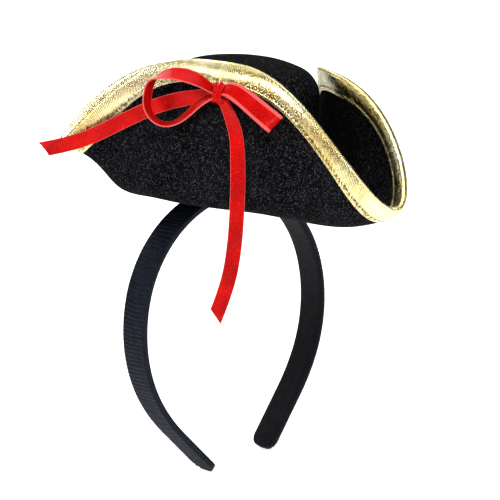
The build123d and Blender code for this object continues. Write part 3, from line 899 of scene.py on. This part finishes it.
def ribbon_finish():
    """Red satin ribbon: a fine twill, a pale line along each edge where the selvage is painted lighter as a
    highlight, fine painted glints, a pink gloss.
    """
    f = Finish("red_ribbon", Roughness=0.32, Specular_IOR_Level=0.16, Specular_Tint=(1.0, 0.45, 0.4, 1),
               Anisotropic=0.4)
    place = f.coordinates((1, 1, 1), "UV")
    weft = f.add("ShaderNodeTexWave", {"Vector": place, "Scale": 900.0, "Distortion": 0.4},
                 bands_direction="DIAGONAL").outputs["Fac"]
    across = f.math("ABSOLUTE", f.add("ShaderNodeSeparateXYZ", {"Vector": place}).outputs["Y"])
    # Painted highlight: the selvage along each edge is painted a pale pink, as if it caught the light.
    edge = f.ramp(f.math("MULTIPLY", across, 1 / (RIBBON_WIDTH * MM)), (0.462, grey(0)), (0.482, grey(1)))
    tone = f.ramp(f.noise(90, 2.0), (0.3, (0.30, 0.0002, 0.0005)), (0.7, (0.50, 0.001, 0.001)))
    # Painted glints: fine specks painted a brighter red.
    painted_glints = f.ramp(f.noise(1500, 1.0), (0.60, grey(0)), (0.72, grey(0.35)))
    body = f.mix(painted_glints, tone, (0.95, 0.04, 0.03, 1))
    colour = f.mix(f.math("MULTIPLY", edge, 0.4), body, (0.95, 0.22, 0.20, 1))
    crumple = f.bump(f.noise(260, 3.0), 0.0003, 0.35)
    return f.use(Base_Color=colour, Normal=f.bump(weft, 0.00006, 0.6, crumple))


def cover_finish():
    """Black satin with a navy cast, gathered crosswise."""
    f = Finish("band_satin", Roughness=0.6, Specular_IOR_Level=0.12, Specular_Tint=(0.6, 0.75, 1.0, 1))
    place = f.coordinates((1, 1, 1), "UV")
    weft = f.add("ShaderNodeTexWave", {"Vector": place, "Scale": 620.0, "Distortion": 2.0, "Detail": 2.0},
                 bands_direction="X").outputs["Fac"]
    tone = f.ramp(f.noise(260, 3.0), (0.35, (0.0015, 0.002, 0.004)), (0.65, (0.004, 0.005, 0.009)))
    thread = f.ramp(f.noise(1300, 2.0), (0.60, grey(0)), (0.72, grey(0.4)))
    colour = f.mix(thread, tone, (0.045, 0.05, 0.07, 1))
    fuzz = f.bump(f.noise(500, 4.0), 0.0003, 0.5)
    return f.use(Base_Color=colour, Normal=f.bump(weft, 0.00012, 0.6, fuzz))


def lining_finish():
    """Dark brushed lining."""
    f = Finish("band_lining", Roughness=0.75, Specular_IOR_Level=0.12)
    tone = f.ramp(f.noise(300, 3.0), (0.35, (0.002, 0.002, 0.003)), (0.65, (0.006, 0.006, 0.008)))
    return f.use(Base_Color=tone, Normal=f.bump(f.noise(900, 4.0, 0.7), 0.0002, 0.5))


def moulded_finish(name, dark, light, rough, grain=500):
    """A plain hard or matted stuff with a fine grain."""
    f = Finish(name, Roughness=rough)
    tone = f.ramp(f.noise(grain / 4, 3.0), (0.35, dark), (0.65, light))
    return f.use(Base_Color=tone, Normal=f.bump(f.noise(grain, 3.0), 0.0002, 0.35))


def thread_finish(name, dark, light):
    """Twisted thread."""
    f = Finish(name, Roughness=0.6, Sheen_Weight=0.2)
    twist = f.add("ShaderNodeTexWave", {"Vector": f.coordinates(), "Scale": 700.0, "Distortion": 1.0},
                  bands_direction="DIAGONAL").outputs["Fac"]
    return f.use(Base_Color=f.mix(twist, (*dark, 1), (*light, 1)), Normal=f.bump(twist, 0.00008, 0.7))


def finish_piece(piece, body, finish):
    """Gives a piece its material and body."""
    piece.data.materials.append(finish)
    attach(piece, body)


def dress(nodes, finish):
    """A new material on CAD nodes whose shape stays."""
    for name in nodes:
        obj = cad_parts[name]
        if not obj.material_slots:
            obj.data.materials.append(finish)
        for slot in obj.material_slots:
            slot.material = finish


# ---------------------------------------------------------------- surroundings

def area_light(name, place, size, power):
    """A soft box in metres and watts, turned towards the hat."""
    data = bpy.data.lights.new(name, "AREA")
    data.shape = "RECTANGLE"
    data.size, data.size_y = size
    data.energy = power
    light = bpy.data.objects.new(name, data)
    bpy.context.scene.collection.objects.link(light)
    light.location = place
    light.rotation_mode = "QUATERNION"
    light.rotation_quaternion = (Vector((0, 0, 0.04)) - Vector(place)).to_track_quat("-Z", "Y")


def make_world():
    """A studio that is white behind the object and dim all round it, so that the foil reflects dark too."""
    world = bpy.data.worlds.new("studio")
    bpy.context.scene.world = world
    world.use_nodes = True
    tree = world.node_tree
    surround = tree.nodes["Background"]
    surround.inputs["Color"].default_value = (0.9, 0.95, 1.0, 1)
    surround.inputs["Strength"].default_value = 0.12
    backdrop = tree.nodes.new("ShaderNodeBackground")
    backdrop.inputs["Color"].default_value = (1, 1, 1, 1)
    backdrop.inputs["Strength"].default_value = 1.1
    seen = tree.nodes.new("ShaderNodeLightPath").outputs["Is Camera Ray"]
    mixed = tree.nodes.new("ShaderNodeMixShader")
    tree.links.new(seen, mixed.inputs[0])
    tree.links.new(surround.outputs[0], mixed.inputs[1])
    tree.links.new(backdrop.outputs[0], mixed.inputs[2])
    tree.links.new(mixed.outputs[0], tree.nodes["World Output"].inputs["Surface"])


def make_surroundings():
    """A plain pale floor, a pale world and soft boxes."""
    make_world()
    half, drop = 6.0, 0.0006
    floor_z = cad_box[0].z - drop
    mesh = bpy.data.meshes.new("floor")
    corners = [(x * half, y * half, floor_z) for x, y in ((-1, -1), (1, -1), (1, 1), (-1, 1))]
    mesh.from_pydata(corners, [], [(0, 1, 2, 3)])
    floor = bpy.data.objects.new("floor", mesh)
    bpy.context.scene.collection.objects.link(floor)
    paper = Finish("paper", Roughness=0.9, Base_Color=(0.95, 0.95, 0.95, 1), Specular_IOR_Level=0.1,
                   Emission_Color=(1, 1, 1, 1), Emission_Strength=0.7)
    floor.data.materials.append(paper.material)
    area_light("key", (-0.55, -0.75, 1.0), (0.5, 0.3), 12.0)
    area_light("left", (-1.0, 0.1, 0.45), (0.25, 0.8), 5.0)
    area_light("fill", (0.75, -0.75, 0.25), (0.2, 0.7), 3.5)
    area_light("back", (0.4, 0.9, 0.9), (0.7, 0.3), 8.0)
    area_light("overhead", (0.1, -0.1, 1.5), (1.0, 0.6), 9.0)
    bpy.context.scene.view_settings.view_transform = "Standard"
    bpy.context.scene.view_settings.look = "None"


# ---------------------------------------------------------------- the object

BRIM_NODES = [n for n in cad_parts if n.startswith("brim") and n != "brim_binding"]

make_camera()
red = ribbon_finish()
felt = felt_finish()
gold = gold_finish()
make_tails(red)
make_brim(felt)
make_crown(felt)
stitch_count = make_binding(gold)
black_thread = thread_finish("black_thread", (0.006, 0.006, 0.007), (0.03, 0.028, 0.026))
make_stitches(black_thread, stitch_count)
make_loops(red)
make_knot(red)
make_band(cover_finish(), lining_finish())
dress([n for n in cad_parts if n.startswith("band_core")],
      moulded_finish("band_plastic", (0.006, 0.006, 0.007), (0.012, 0.012, 0.013), 0.4))
dress(["base_disc"], felt)
dress(["glue_beads"], moulded_finish("glue", (0.55, 0.50, 0.40), (0.72, 0.68, 0.58), 0.35, 300))
dress(["crown_stiffener"], moulded_finish("buckram", (0.30, 0.28, 0.23), (0.42, 0.40, 0.34), 0.9, 900))
dress(["bow_tack"], thread_finish("red_thread", (0.25, 0.003, 0.004), (0.5, 0.01, 0.012)))
make_surroundings()

bpy.context.view_layer.update()
